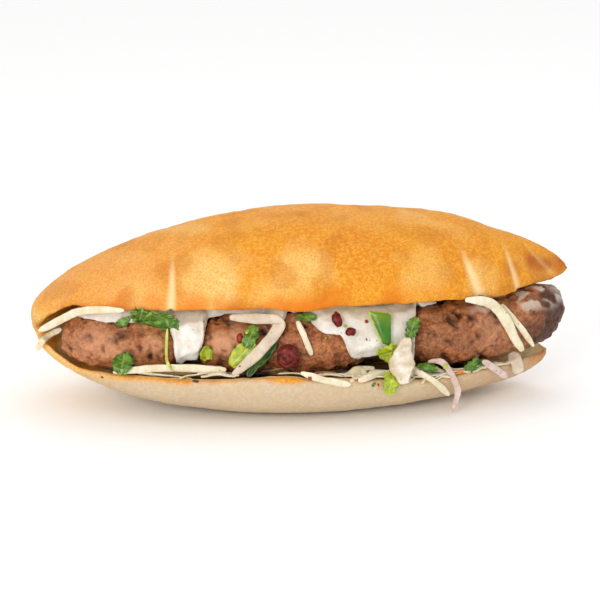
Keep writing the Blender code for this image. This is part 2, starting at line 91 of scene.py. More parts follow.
def mergedCopy(nodeName):
    # a CAD node's mesh with its seams closed
    bm = bmesh.new()
    bm.from_mesh(nodes[nodeName].data)
    bmesh.ops.remove_doubles(bm, verts=bm.verts, dist=0.00001)
    return bm


def meltedCopy(nodeName, pieceName, material, voxel, smoothing):
    # a CAD solid, remeshed fine enough to carry relief, and smoothed
    obj = objectFrom(mergedCopy(nodeName), pieceName, material)
    even = obj.modifiers.new("even", "REMESH")
    even.mode = "VOXEL"
    even.voxel_size = voxel * mm
    soft = obj.modifiers.new("soft", "SMOOTH")
    soft.factor = 0.5
    soft.iterations = smoothing
    applyModifiers(obj)
    return obj


def pieceNameOf(nodeName):
    return "".join(part.capitalize() for part in nodeName.split("_"))


def roundedCopy(nodeName, material, levels):
    # a CAD solid with its edges rounded off
    obj = objectFrom(mergedCopy(nodeName), pieceNameOf(nodeName), material)
    smoother = obj.modifiers.new("round", "SUBSURF")
    smoother.levels = smoother.render_levels = levels
    applyModifiers(obj)
    return obj


def relief(obj, amount):
    # moves every point along its normal by amount(point), all in mm, and returns the amounts
    mesh = obj.data
    normals = [v.normal.copy() for v in mesh.vertices]
    moved = []
    for vert, normal in zip(mesh.vertices, normals):
        rise = amount(vert.co / mm)
        moved.append(rise)
        vert.co += normal * rise * mm
    mesh.update()
    return moved


def paint(obj, name, values):
    layer = obj.data.attributes.new(name, "FLOAT", "POINT")
    layer.data.foreach_set("value", np.asarray(values, dtype=np.float32))


def spreadOut(obj, values, rounds):
    # averages values over neighbouring points
    edges = np.empty(len(obj.data.edges) * 2, dtype=np.int64)
    obj.data.edges.foreach_get("vertices", edges)
    a, b = edges[0::2], edges[1::2]
    count = np.bincount(a, minlength=len(values)) + np.bincount(b, minlength=len(values))
    values = np.asarray(values, dtype=np.float64)
    for _ in range(rounds):
        total = np.bincount(a, values[b], len(values)) + np.bincount(b, values[a], len(values))
        values = 0.5 * values + 0.5 * total / np.maximum(count, 1)
    return values


def treeOf(objects):  # in mm
    points, faces = [], []
    for obj in objects:
        first = len(points)
        points.extend(v.co / mm for v in obj.data.vertices)
        faces.extend([first + i for i in p.vertices] for p in obj.data.polygons)
    return BVHTree.FromPolygons(points, faces)


# material helpers
def newMaterial(name, **sockets):
    made = bpy.data.materials.new(name)
    made.use_nodes = True
    shader = made.node_tree.nodes["Principled BSDF"]
    for socket, value in sockets.items():
        shader.inputs[socket.replace("_", " ")].default_value = value
    return made, made.node_tree, shader


def addNode(tree, kind, settings=None, links=None):
    made = tree.nodes.new(kind)
    for key, value in (settings or {}).items():
        if hasattr(made, str(key)):
            setattr(made, key, value)
        else:
            made.inputs[key].default_value = value
    for key, source in (links or {}).items():
        tree.links.new(source, made.inputs[key])
    return made


def blendColours(tree, share, first, second):
    made = addNode(tree, "ShaderNodeMix", {"data_type": "RGBA"})
    for place, value in ((0, share), (6, first), (7, second)):   # the node's sockets for colours
        if isinstance(value, bpy.types.NodeSocket):
            tree.links.new(value, made.inputs[place])
        else:
            made.inputs[place].default_value = value
    return made.outputs[2]


def times(tree, value, factor):
    return addNode(tree, "ShaderNodeMath", {"operation": "MULTIPLY", 1: factor}, {0: value}).outputs[0]


def spanned(tree, value, low, high):
    # 0 at low and under it, 1 at high and over it
    return addNode(
        tree, "ShaderNodeMapRange", {"From Min": low, "From Max": high}, {"Value": value}
    ).outputs["Result"]


def objectSpace(tree):
    return addNode(tree, "ShaderNodeTexCoord").outputs["Object"]


def noiseOf(tree, where, sizeMm, detail=3.0, rough=0.55, low=0.35, high=0.65):
    # noise of about that size in mm, stretched to run from 0 to 1
    settings = {"Scale": 1 / (sizeMm * mm), "Detail": detail, "Roughness": rough}
    grain = addNode(tree, "ShaderNodeTexNoise", settings, {"Vector": where})
    return spanned(tree, grain.outputs["Fac"], low, high)


def painted(tree, name):
    return addNode(tree, "ShaderNodeAttribute", {"attribute_name": name}).outputs["Fac"]


def sumOf(tree, base, extra, share=1.0):
    # base plus a share of extra
    return addNode(
        tree, "ShaderNodeMath", {"operation": "MULTIPLY_ADD", 1: share}, {0: extra, 2: base}
    ).outputs[0]


def addBump(tree, shader, height, strength, depthMm):
    bump = addNode(
        tree, "ShaderNodeBump", {"Strength": strength, "Distance": depthMm * mm}, {"Height": height}
    )
    tree.links.new(bump.outputs["Normal"], shader.inputs["Normal"])


def breadMaterial():
    # Flat bread: wheat dough baked on a hot stone. The crust is matt and golden, finely
    # grained, toasted orange in patches and brown at the lip; underneath it keeps its
    # flour, and the torn inside is cream, soaked orange at the left end.
    made, tree, shader = newMaterial(
        "BakedFlatBread", Roughness=0.62, Specular_IOR_Level=0.16,
        Subsurface_Weight=0.06, Subsurface_Scale=0.003, Subsurface_Radius=(1.0, 0.5, 0.2),
        Sheen_Weight=0.04, Sheen_Roughness=0.5, Sheen_Tint=hexColour("FFDCA8"),
    )
    where = objectSpace(tree)
    crumb, flour, browning, pale, toast, peach, soaked, crease, amber = (
        painted(tree, name)
        for name in ("crumb", "flour", "browning", "pale", "toast", "peach", "soaked", "crease", "amber")
    )
    mottle = noiseOf(tree, where, 9, 4.0, 0.6)                    # blister-sized shading
    speckle = noiseOf(tree, where, 1.7, 2.0, 0.75, 0.38, 0.62)    # grain of the crust
    fine = noiseOf(tree, where, 0.8, 2.0, 0.7, 0.36, 0.64)
    # peach and pale are partly painted sheen and light on the crust
    crust = blendColours(tree, peach, hexColour("E6981F"), hexColour("EDA764"))
    crust = blendColours(tree, toast, crust, hexColour("DC8418"))
    crust = blendColours(tree, pale, crust, hexColour("FBDE94"))
    crust = blendColours(tree, times(tree, mottle, 0.3), crust, hexColour("E08C1E"))
    crust = blendColours(tree, times(tree, speckle, 0.58), crust, hexColour("F9C04A"))
    crust = blendColours(tree, times(tree, fine, 0.5), crust, hexColour("BE6812"))
    crust = blendColours(tree, amber, crust, hexColour("DE7A14"))
    crust = blendColours(tree, browning, crust, hexColour("A85214"))
    crust = blendColours(tree, crease, crust, hexColour("F4D8A0"))
    dusty = blendColours(tree, times(tree, speckle, 0.5), hexColour("CBB596"), hexColour("DFCFB6"))
    dusty = blendColours(tree, times(tree, mottle, 0.35), dusty, hexColour("D2B78F"))
    inside = blendColours(tree, mottle, hexColour("F0D9A8"), hexColour("E2B672"))
    inside = blendColours(tree, soaked, inside, hexColour("F6B44C"))
    skin = blendColours(tree, flour, crust, dusty)
    skin = blendColours(tree, crumb, skin, inside)
    tree.links.new(skin, shader.inputs["Base Color"])
    addBump(tree, shader, sumOf(tree, fine, speckle), 0.4, 0.28)
    return made


def meatMaterial():
    # Minced lamb pressed round a skewer and grilled: moist, coarse crumb, browned on the
    # high spots, darker in the crumb's low spots and near black in its pits: painted shade.
    # Lighter grit is partly the meat's own and partly painted highlight, and pinker patches are
    # partly meat the grill hardly touched and partly painted highlight. Darker towards the right
    # end, with painted shade low down and in the gaps, and a film of yoghurt where sauce ran over it.
    made, tree, shader = newMaterial(
        "GrilledMincedMeat", Roughness=0.5, Specular_IOR_Level=0.35, Coat_Weight=0.08, Coat_Roughness=0.3,
        Subsurface_Weight=0.06, Subsurface_Scale=0.002, Subsurface_Radius=(1.0, 0.35, 0.2),
    )
    where = objectSpace(tree)
    height, smear, char, pinkAndHighlight = (painted(tree, name) for name in ("height", "smear", "char", "pinkAndHighlight"))
    broad = noiseOf(tree, where, 10, 2.0, 0.5, 0.38, 0.62)
    crumb = noiseOf(tree, where, 3.0, 4.0, 0.65, 0.38, 0.62)
    red = noiseOf(tree, where, 6.0, 2.0, 0.5, 0.52, 0.7)
    gritAndHighlight = noiseOf(tree, where, 1.2, 2.0, 0.6, 0.4, 0.6)
    flesh = blendColours(tree, broad, hexColour("A65C30"), hexColour("CB844E"))
    flesh = blendColours(tree, times(tree, red, 0.65), flesh, hexColour("93401A"))
    # darker low spots of the crumb, partly the meat's own and partly painted shade
    flesh = blendColours(tree, crumb, hexColour("84441E"), flesh)
    # pinker patches, partly the meat's own and partly painted highlight
    flesh = blendColours(tree, times(tree, pinkAndHighlight, 0.6), flesh, hexColour("E0A884"))
    # lighter grit, partly the meat's own and partly painted highlight
    flesh = blendColours(tree, times(tree, gritAndHighlight, 0.3), flesh, hexColour("DDA674"))
    # painted shade: near black in the pits and crevices of the relief
    flesh = blendColours(tree, spanned(tree, height, -0.2, -1.2), flesh, hexColour("3E1A08"))
    # darker right end and browner patches, with painted shade low down and in the gaps of the meat
    flesh = blendColours(tree, char, flesh, hexColour("4A220C"))
    flesh = blendColours(tree, smear, flesh, hexColour("D6CABC"))
    tree.links.new(flesh, shader.inputs["Base Color"])
    addBump(tree, shader, sumOf(tree, crumb, gritAndHighlight, 0.5), 0.5, 0.4)
    return made


def yoghurtMaterial(name, shaded, light):
    # Strained yoghurt, poured on: thick and glossy, a little see-through at its edge, with
    # ground pepper in it, and clouded with a darker colour that is painted shade; the drop gets darker,
    # browner colours, painted shade.
    made, tree, shader = newMaterial(
        name, Roughness=0.3,
        Subsurface_Weight=0.3, Subsurface_Scale=0.003, Subsurface_Radius=(1.0, 0.8, 0.6),
    )
    where = objectSpace(tree)
    cloud = noiseOf(tree, where, 6, 3.0)
    flecks = noiseOf(tree, where, 1.1, 1.0, 0.5, 0.70, 0.74)   # ground pepper
    # a cloud between a painted-shade colour and a light one
    white = blendColours(tree, cloud, hexColour(shaded), hexColour(light))
    white = blendColours(tree, times(tree, flecks, 0.5), white, hexColour("9C8458"))
    tree.links.new(white, shader.inputs["Base Color"])
    addBump(tree, shader, cloud, 0.4, 0.8)
    return made


def shredMaterial(name, light, dark, rib):
    # Raw white cabbage or onion, cut by knife: wet, waxy, with ribs along the shred.
    made, tree, shader = newMaterial(
        name, Roughness=0.34, Coat_Weight=0.2, Coat_Roughness=0.2,
        Subsurface_Weight=0.25, Subsurface_Scale=0.002, Subsurface_Radius=(1.0, 0.9, 0.5),
    )
    where = objectSpace(tree)
    wander = noiseOf(tree, where, 9, 1.0)
    path = addNode(tree, "ShaderNodeCombineXYZ", {}, {"X": painted(tree, "across"), "Y": wander})
    settings = {"Scale": 0.8, "Distortion": 2.0, "Detail": 1.0}   # "across" is in mm
    ribs = addNode(tree, "ShaderNodeTexWave", settings, {"Vector": path.outputs["Vector"]}).outputs["Fac"]
    tone = noiseOf(tree, where, 7, 3.0)
    flesh = blendColours(tree, tone, hexColour(light), hexColour(dark))
    flesh = blendColours(tree, times(tree, ribs, 0.55), flesh, hexColour(rib))
    streak = noiseOf(tree, where, 2.2, 3.0, 0.6, 0.5, 0.68)
    flesh = blendColours(tree, times(tree, streak, 0.5), flesh, hexColour(dark))
    tree.links.new(flesh, shader.inputs["Base Color"])
    addBump(tree, shader, ribs, 0.35, 0.3)
    return made


def soakedAndShadedMaterial():
    # The imported shreds in the fold: brown between the strands, partly soaked with meat juice and partly
    # painted shade, and near black where painted shade lies deep under the meat.
    made, tree, shader = newMaterial("SoakedAndShadedShreds", Roughness=0.4, Coat_Weight=0.2, Coat_Roughness=0.25)
    where = objectSpace(tree)
    stretched = addNode(tree, "ShaderNodeMapping", {"Scale": (0.25, 1.0, 1.0)}, {"Vector": where})
    strands = noiseOf(tree, stretched.outputs["Vector"], 2.4, 3.0, 0.6)
    tone = noiseOf(tree, where, 11, 2.0)
    wet = blendColours(tree, strands, hexColour("3A2412"), hexColour("A8824E"))
    wet = blendColours(tree, times(tree, tone, 0.5), wet, hexColour("6A4826"))
    # painted shade, near black, deep under the meat
    wet = blendColours(tree, painted(tree, "shade"), wet, hexColour("160A04"))
    tree.links.new(wet, shader.inputs["Base Color"])
    addBump(tree, shader, strands, 0.6, 0.8)
    return made


def leafMaterial(name, light, dark, veinColour):
    # Fresh leaf: waxy, with a midrib and side veins in a lighter colour, and painted shade, darker, in the
    # troughs of its ruffle.
    made, tree, shader = newMaterial(
        name, Roughness=0.36, Coat_Weight=0.15, Coat_Roughness=0.2,
        Subsurface_Weight=0.12, Subsurface_Scale=0.0015, Subsurface_Radius=(0.6, 1.0, 0.2),
    )
    where = objectSpace(tree)
    tone = noiseOf(tree, where, 3.5, 3.0, 0.6, 0.38, 0.62)
    vein, fold = painted(tree, "vein"), painted(tree, "fold")
    green = blendColours(tree, tone, hexColour(dark), hexColour(light))
    # painted shade in the troughs of the ruffle
    green = blendColours(tree, fold, green, hexColour(dark))
    green = blendColours(tree, times(tree, vein, 0.6), green, hexColour(veinColour))
    tree.links.new(green, shader.inputs["Base Color"])
    addBump(tree, shader, blendColours(tree, vein, tone, (0.0, 0.0, 0.0, 1.0)), 0.4, 0.3)
    return made


def pepperMaterial():
    # Green pepper: tight waxy skin with a soft gloss, pale flesh where it is cut.
    made, tree, shader = newMaterial(
        "GreenPepperSkin", Roughness=0.24, Specular_IOR_Level=0.3, Coat_Weight=0.1, Coat_Roughness=0.15
    )
    where = objectSpace(tree)
    tone = noiseOf(tree, where, 5, 2.0)
    rim, upper = painted(tree, "rim"), painted(tree, "upper")
    green = blendColours(tree, upper, hexColour("2A6E18"), hexColour("6F8F14"))
    green = blendColours(tree, times(tree, tone, 0.35), green, hexColour("5E8F26"))
    green = blendColours(tree, rim, green, hexColour("C6D468"))
    tree.links.new(green, shader.inputs["Base Color"])
    addBump(tree, shader, tone, 0.15, 0.3)
    return made


def berryMaterial():
    # Dried sour berry, softened in the meat's juice: wrinkled, dark wine red, sticky.
    made, tree, shader = newMaterial(
        "DriedBerrySkin", Roughness=0.34, Specular_IOR_Level=0.3,
        Subsurface_Weight=0.05, Subsurface_Scale=0.0015, Subsurface_Radius=(1.0, 0.1, 0.1),
    )
    where = objectSpace(tree)
    tone = noiseOf(tree, where, 2.4, 3.0)
    red = blendColours(tree, tone, hexColour("380806"), hexColour("801E10"))
    tree.links.new(red, shader.inputs["Base Color"])
    addBump(tree, shader, tone, 0.6, 0.4)
    return made


def fleckMaterial(name, light, dark, rough=0.45):
    # Chopped herb, spice or carrot: a speck a millimetre or two across, moist where cut.
    made, tree, shader = newMaterial(name, Roughness=rough)
    where = objectSpace(tree)
    tone = noiseOf(tree, where, 2.0, 2.0)
    tree.links.new(blendColours(tree, tone, hexColour(light), hexColour(dark)), shader.inputs["Base Color"])
    addBump(tree, shader, tone, 0.3, 0.2)
    return made


crustLook = breadMaterial()
meatLook = meatMaterial()
yoghurtLook = yoghurtMaterial("YoghurtSauce", "DDD6CC", "F3F0EB")
# the drop's darker, browner colours are painted shade
dropLook = yoghurtMaterial("YoghurtDropInShade", "C4AE8C", "EDE6D8")
cabbageLook = shredMaterial("WhiteCabbage", "F0E8CE", "D2BE8C", "FAF6E6")
onionLook = shredMaterial("RawOnion", "DEC9BC", "C09C8C", "F0E2DA")
foldLook = shredMaterial("CabbageHeart", "E2D4C0", "C4AE92", "F4EADC")
soakedAndShadedLook = soakedAndShadedMaterial()
herbLook = leafMaterial("ChoppedParsley", "6FA035", "2C5A1C", "A9C454")
# a darker parsley for the leaf beside the fold strip: partly a darker leaf, partly painted shade
darkLook = leafMaterial("DarkParsleyInShade", "4E7A30", "1E3A12", "8AA85C")
leafLook = leafMaterial("LettuceLeaf", "C2C820", "7FA01E", "D8DC70")
stalkLook = leafMaterial("HerbStalk", "C0C444", "98A030", "DDE27C")
pepperLook = pepperMaterial()
berryLook = berryMaterial()
print("materials made")

# the bread
bread = {
    "voxel": 1.2,                     # mm between points of the mesh
    "smoothing": 8,
    "halfLength": 120.0, "halfWidth": 54.0,
    "middle": (42.0, 50.0),           # heights between which the lower half gives way to the upper
    "front": (-8.0, -26.0),           # y between which the back gives way to the front
    "flourFront": 20.6, "flourBack": 31.0,    # heights that the flour reaches
    "blisterHeight": 0.45, "swellHeight": 0.5, "grainHeight": 0.14, "lipRoughness": 0.35,
    # light crease lines at the upper lip: x and z where each crosses, half width, depth, lean
    "creases": (
        (-58.3, 58.0, 2.2, 1.0, 0.08), (75.0, 60.0, 2.8, 1.0, -0.38), (93.6, 62.0, 1.8, 0.8, -0.31),
        (105.0, 66.0, 1.6, 0.7, -0.9),
    ),
    # pale patches on the front of the crust, partly less-baked crust and partly painted sheen: x, y, z,
    # reach, strength
    "lightPatches": (
        (-40, -42, 68, 17, 0.95), (-1, -41, 70, 14, 0.7), (52, -38, 67, 13, 0.45), (80, -33, 61, 11, 0.6),
        (-12, -48, 61, 15, 0.45), (-75, -36, 60, 12, 0.3),
    ),
    # amber patches along the upper lip and brown ones at the right tip: x, y, z, reach, strength
    "amberPatches": (
        (-81, -36, 53, 7, 0.6), (-66, -42, 54, 6, 0.4), (-50, -46, 55, 8, 0.85), (-36, -49, 54, 7, 0.6),
        (-14, -52, 55, 7, 0.7), (-3, -53, 56, 9, 0.95), (10, -53, 56, 9, 0.8), (37, -50, 56, 9, 0.7),
        (60, -44, 56, 7, 0.5),
    ),
    "brownPatches": (
        (97, -22, 61, 7, 0.55), (92, -27, 57, 6, 0.5), (108, -13, 64, 8, 0.6), (119, -4, 62, 8, 0.6),
    ),
    # darker, toasted ones higher up
    "toastPatches": (
        (-6, -20, 83, 17, 0.7), (24, -34, 77, 19, 1.0), (-56, -37, 67, 9, 0.6), (70, -24, 75, 16, 0.8),
        (-20, -40, 72, 9, 0.6), (14, -46, 64, 8, 0.5), (38, -44, 62, 9, 0.4), (-28, -52, 57, 9, 0.6),
    ),
}


def patchShare(p, patches):
    # how far a point lies in the nearest patch, with a ragged edge
    found = 0.0
    for x, y, z, reach, strength in patches:
        away = (p - Vector((x, y, z))).length + 5.0 * lumps(p, 8.0, reach)
        found = max(found, strength * softStep(reach * 1.25, reach * 0.3, away))
    return found


def creaseShare(p, widen):
    # how deep a point lies in a crease of the upper lip; creases narrow upwards
    deepest = 0.0
    for place, level, reach, depth, lean in bread["creases"]:
        line = place + lean * (p.z - level)
        flare = reach * widen * (0.35 + 0.65 * softStep(76.0, 56.0, p.z))
        deepest = max(deepest, depth * softStep(flare, 0.0, abs(p.x - line)))
    return deepest * softStep(76.0, 64.0, p.z) * softStep(46.0, 51.0, p.z) * softStep(0.0, -22.0, p.y)


def makeBread():
    loaf = meltedCopy("bread", "BreadLoaf", crustLook, bread["voxel"], bread["smoothing"])
    mesh = loaf.data
    tree = treeOf([loaf])
    inner = []
    for vert in mesh.vertices:   # a point that faces more bread lies inside the slit
        hit = tree.ray_cast(vert.co / mm + vert.normal * 0.6, vert.normal, 70.0)
        inner.append(1.0 if hit[0] is not None else 0.0)
    crumb = spreadOut(loaf, inner, 8)
    lip = np.clip(4.0 * crumb * (1.0 - crumb), 0, 1)
    wideLip = np.clip(2.0 * spreadOut(loaf, lip, 30), 0, 1)
    names = ("flour", "browning", "pale", "toast", "peach", "soaked", "crease", "amber")
    looks = {name: [] for name in names}
    for i, vert in enumerate(mesh.vertices):
        p = vert.co / mm
        along = p.x / bread["halfLength"]
        upper = softStep(*bread["middle"], p.z)
        front = softStep(*bread["front"], p.y)
        # the flour below
        frontEdge = bread["flourFront"] + 8.0 * softStep(-0.78, -0.95, along)
        frontEdge += 1.4 * lumps(p, 9.0, 4.0) - 3.6 * softStep(0.05, 0.45, along)
        frontEdge += softStep(-70.0, -40.0, p.x) * (2.2 + 3.0 * lumps(p, 10.0, 14.0))
        backEdge = bread["flourBack"] + 6.0 * lumps(p, 22.0, 4.0) + 12.0 * max(0.0, along) ** 3
        edge = backEdge + (frontEdge - backEdge) * front
        dusted = softStep(edge + 2.0 + 3.0 * (1 - front), edge - 2.0 - 4.0 * (1 - front), p.z)
        rightTip = softStep(101.0, 109.0, p.x + 4.0 * lumps(p, 6.0, 5.0))
        dusted *= 1.0 - 0.2 * softStep(40.0, 85.0, p.x) - 0.55 * rightTip
        looks["flour"].append(dusted * (1.0 - 0.85 * softStep(-0.66, -0.86, along)))
        # brown along both lips, at the right tip and in a few patches, and darker towards the right on the
        # lower half
        ragged = softStep(-0.25, 0.3, lumps(Vector((p.x, p.y * 0.5, p.z * 0.5)), 9.0, 2.0))
        brown = 0.55 * upper * wideLip[i] * ragged
        lower = 0.45 * softStep(-0.3, 0.3, lumps(p, 7.0, 9.0)) * (1.0 - 0.7 * softStep(-60.0, -25.0, p.x))
        brown += lower * (1.0 - upper) * wideLip[i] * (1.0 - dusted)
        brown += 0.45 * softStep(0.72, 0.97, along) * softStep(0.25, -0.3, lumps(p, 8.0, 7.0)) * upper
        brown += patchShare(p, bread["brownPatches"]) + 0.5 * (1.0 - upper) * softStep(45.0, 90.0, p.x)
        brown += 0.22 * softStep(0.16, 0.5, lumps(p, 12.0, 11.0))
        looks["browning"].append(min(0.85, brown))
        # pale and toasted patches: placed on the front, drawn from noise behind; the pale ones, and the
        # paler lower half at the left end, are partly the crust's own and partly painted sheen and light
        light = patchShare(p, bread["lightPatches"])
        light += 0.4 * softStep(0.1, 0.5, lumps(p, 20.0, 15.0)) * (1 - front)
        golden = softStep(-70.0, -90.0, p.x) * (1.0 - upper)
        looks["pale"].append(max(min(1.0, light), 0.8 * golden))
        dark = patchShare(p, bread["toastPatches"])
        dark += 0.6 * softStep(0.05, 0.45, lumps(p, 17.0, 31.0)) * (1 - 0.5 * front)
        looks["toast"].append(min(1.0, dark + 0.45 * wideLip[i] * upper))
        looks["crease"].append(min(0.92, creaseShare(p, 1.3)))
        looks["amber"].append(patchShare(p, bread["amberPatches"]))
        # peach at the upper left and along the crown: partly the crust's own and partly painted sheen
        looks["peach"].append(max(softStep(-0.2, -0.62, along) * upper, 0.6 * softStep(79.0, 88.0, p.z)))
        looks["soaked"].append(softStep(-0.55, -0.8, along) * softStep(-0.35, 0.3, lumps(p, 9.0, 3.0) + 0.2))
    paint(loaf, "crumb", np.clip((crumb - 0.3) * 2.2, 0, 1))
    for name, values in looks.items():
        paint(loaf, name, values)
    index = iter(range(len(mesh.vertices)))

    def amount(p):
        i = next(index)
        outside = 1.0 - min(1.0, 2.0 * crumb[i])
        flat = softStep(1.0, 5.0, p.z)
        rise = bread["swellHeight"] * lumps(p, 20.0, 1.0) * outside
        blister = softStep(0.12, 0.5, lumps(p, 6.5, 8.0)) * (0.3 + min(1.0, 0.7 * wideLip[i]))
        rise += bread["blisterHeight"] * blister * outside
        rise += bread["grainHeight"] * lumps(p, 2.6, 3.0) + 0.22 * lumps(p, 5.0, 12.0) * outside
        rise += bread["lipRoughness"] * lumps(p, 5.0, 6.0) * (1.0 - outside)
        return (rise - creaseShare(p, 1.0)) * flat   # nothing moves at the spot it rests on

    relief(loaf, amount)
    return finishPiece(loaf, ["bread"])


loaf = makeBread()
print("bread shaped")

# the kebabs
kebab = {
    "voxel": 0.75, "smoothing": 4,
    "lump": 1.0, "crumb": 1.25, "pit": 0.7, "grain": 0.3,    # heights of the relief in mm
    # paler pink patches, partly less browned and partly painted highlight, and spots of painted shade in the
    # gaps and notches of the meat: x, y, z, reach, strength
    "pinkAndHighlight": (
        (-90, -33, 36, 15, 0.55), (-64, -38, 35, 9, 0.5), (-40, -41, 36, 11, 1.0), (-30, -40, 42, 9, 1.0),
        (86, -29, 38, 11, 0.6),
    ),
    "shadeSpots": (
        (-77, -36, 30, 5, 0.7), (-49, -38, 33, 5, 0.6), (-10, -40, 31, 5, 0.5), (30, -38, 25, 6, 0.6),
    ),
    "darkEndFrom": (98.0, 110.0),     # x between which the right end turns dark
    "film": 0.35,                     # thickness of the yoghurt film
    "filmFrom": (68.0, 82.0),         # x between which the film on the right kebab begins
    "dab": Vector((113.0, -7.0, 46.0)),
}


def makeKebab(nodeName, pieceName, seed):
    piece = meltedCopy(nodeName, pieceName, meatLook, kebab["voxel"], kebab["smoothing"])

    def film(p):
        # how much yoghurt film lies on the meat
        patchy = softStep(-0.05, 0.25, lumps(Vector((p.x * 0.7, p.y, p.z)), 4.0, 3.0))
        if p.x > 60.0:
            high = softStep(41.5, 46.5, p.z + 1.5 * lumps(p, 9.0, 6.0)) * softStep(*kebab["filmFrom"], p.x)
            dab = 0.6 * softStep(7.0, 2.5, (p - kebab["dab"]).length)
            return min(1.0, max(0.65 * high * patchy, dab))
        return 0.25 * softStep(41.0, 46.0, p.z) * patchy

    def amount(p):
        rise = kebab["lump"] * lumps(p, 6.5, seed)
        rise += kebab["crumb"] * abs(lumps(p, 3.2, seed + 4.0)) - 0.25
        torn = Vector((p.x * 1.3, p.y * 0.7, p.z + 0.6 * p.x))
        rise -= kebab["pit"] * softStep(0.05, 0.6, lumps(torn, 4.6, seed + 9.0))
        rise += kebab["grain"] * lumps(p, 1.7, seed + 2.0)
        covered = film(p)
        return rise * (1.0 - 0.5 * covered) + kebab["film"] * covered

    values = {"smear": [], "char": [], "pinkAndHighlight": []}
    for vert in piece.data.vertices:
        p = vert.co / mm
        dark = 0.85 * softStep(*kebab["darkEndFrom"], p.x + 7.0 * lumps(p, 7.0, 8.0))
        # painted shade low down, where the meat sits over the lower bread
        dark += 0.5 * softStep(27.0, 19.0, p.z)
        dark += 0.3 * softStep(36.0, 46.0, p.x) * softStep(-0.2, 0.3, lumps(p, 10.0, 21.0))
        values["smear"].append(film(p))
        # painted shade spots in the gaps and notches of the meat
        values["char"].append(dark + patchShare(p, kebab["shadeSpots"]))
        # pink patches, partly the meat's own and partly painted highlight
        values["pinkAndHighlight"].append(patchShare(p, kebab["pinkAndHighlight"]))
    paint(piece, "height", relief(piece, amount))
    for name, shares in values.items():
        paint(piece, name, shares)
    return finishPiece(piece, [nodeName])


kebabs = [
    makeKebab("kebab_left", "KebabLeft", 1.0),
    makeKebab("kebab_middle", "KebabMiddle", 5.0),
    makeKebab("kebab_right", "KebabRight", 12.0),
]
print("kebabs shaped")

# the sauce
sauce = {
    "voxel": 0.6,
    # smoothing rounds, and the heights in mm of the lumps and ripples
    "layer": (9, 0.5, 0.28), "drop": (6, 0.9, 0.4),
}


def makeSauce():
    rounds, lump, ripple = sauce["layer"]
    piece = meltedCopy("yoghurt_sauce", "YoghurtSauce", yoghurtLook, sauce["voxel"], rounds)
    relief(piece, lambda p: lump * lumps(p, 7.0, 2.0) + ripple * lumps(p, 3.2, 5.0))
    return finishPiece(piece, ["yoghurt_sauce"])


def makeDrop():
    rounds, lump, ripple = sauce["drop"]
    piece = meltedCopy("yoghurt_drop", "YoghurtDrop", dropLook, sauce["voxel"], rounds)
    relief(piece, lambda p: lump * lumps(p, 4.5, 8.0) + ripple * lumps(p, 2.4, 3.0))
    return finishPiece(piece, ["yoghurt_drop"])


yoghurt = makeSauce()
yoghurtDrop = makeDrop()
print("sauce shaped")

# the imported shreds: a core, brown with juice and painted shade, and strands that lie on it and on the
# lower lip
salad = {
    "voxel": 1.0, "smoothing": 5,
    "length": (14.0, 30.0), "width": (1.8, 3.4), "thickness": 0.8,    # of a strand, in mm
    # stretches along x with their number of strands
    "stretches": ((-68, -54, 2), (-46, -30, 2), (-2, 24, 4), (25, 40, 6), (40, 62, 7), (62, 94, 8)),
    # x and reach of the dark gaps, where the core gets painted shade
    "hollows": ((-22.0, 9.0), (17.0, 8.0), (69.0, 8.0), (86.0, 9.0)),
}


def addShred(bm, start, heading, length, width, bend, tilt, floor):
    # a bent strand, narrow at its ends, that lies on floor(x, y) and arches a little
    verts = bmesh.ops.create_grid(bm, x_segments=10, y_segments=1, size=0.5)["verts"]
    for vert in verts:
        share, side = vert.co.x + 0.5, vert.co.y * 2
        turn = heading + bend * (share - 0.5)
        run = length * (share - 0.5)
        narrow = 0.4 + 0.6 * math.sin(math.pi * (0.12 + 0.76 * share))
        x = start.x + run * math.cos(turn) - side * width / 2 * narrow * math.sin(turn)
        y = start.y + run * math.sin(turn) + side * width / 2 * narrow * math.cos(turn)
        z = floor(x, y) + start.z + 0.7 * math.sin(math.pi * share) + side * width / 2 * math.sin(tilt)
        vert.co = Vector((x, y, z)) * mm


def shadeAt(x):
    # painted shade: 1 where the shreds lie deep under the meat
    return max(softStep(reach, reach * 0.5, abs(x - place)) for place, reach in salad["hollows"])


def lipAt(x):
    # half width of the bread's outline at x, which is fuller on the left, and its slope there
    fullness, step = (0.6 if x < 0 else 1.0), 4.0
    here, beyond = (
        bread["halfWidth"] * (1.0 - abs(place / bread["halfLength"]) ** 2.3) ** fullness
        for place in (x, x + step)
    )
    return here, math.atan2(here - beyond, step)


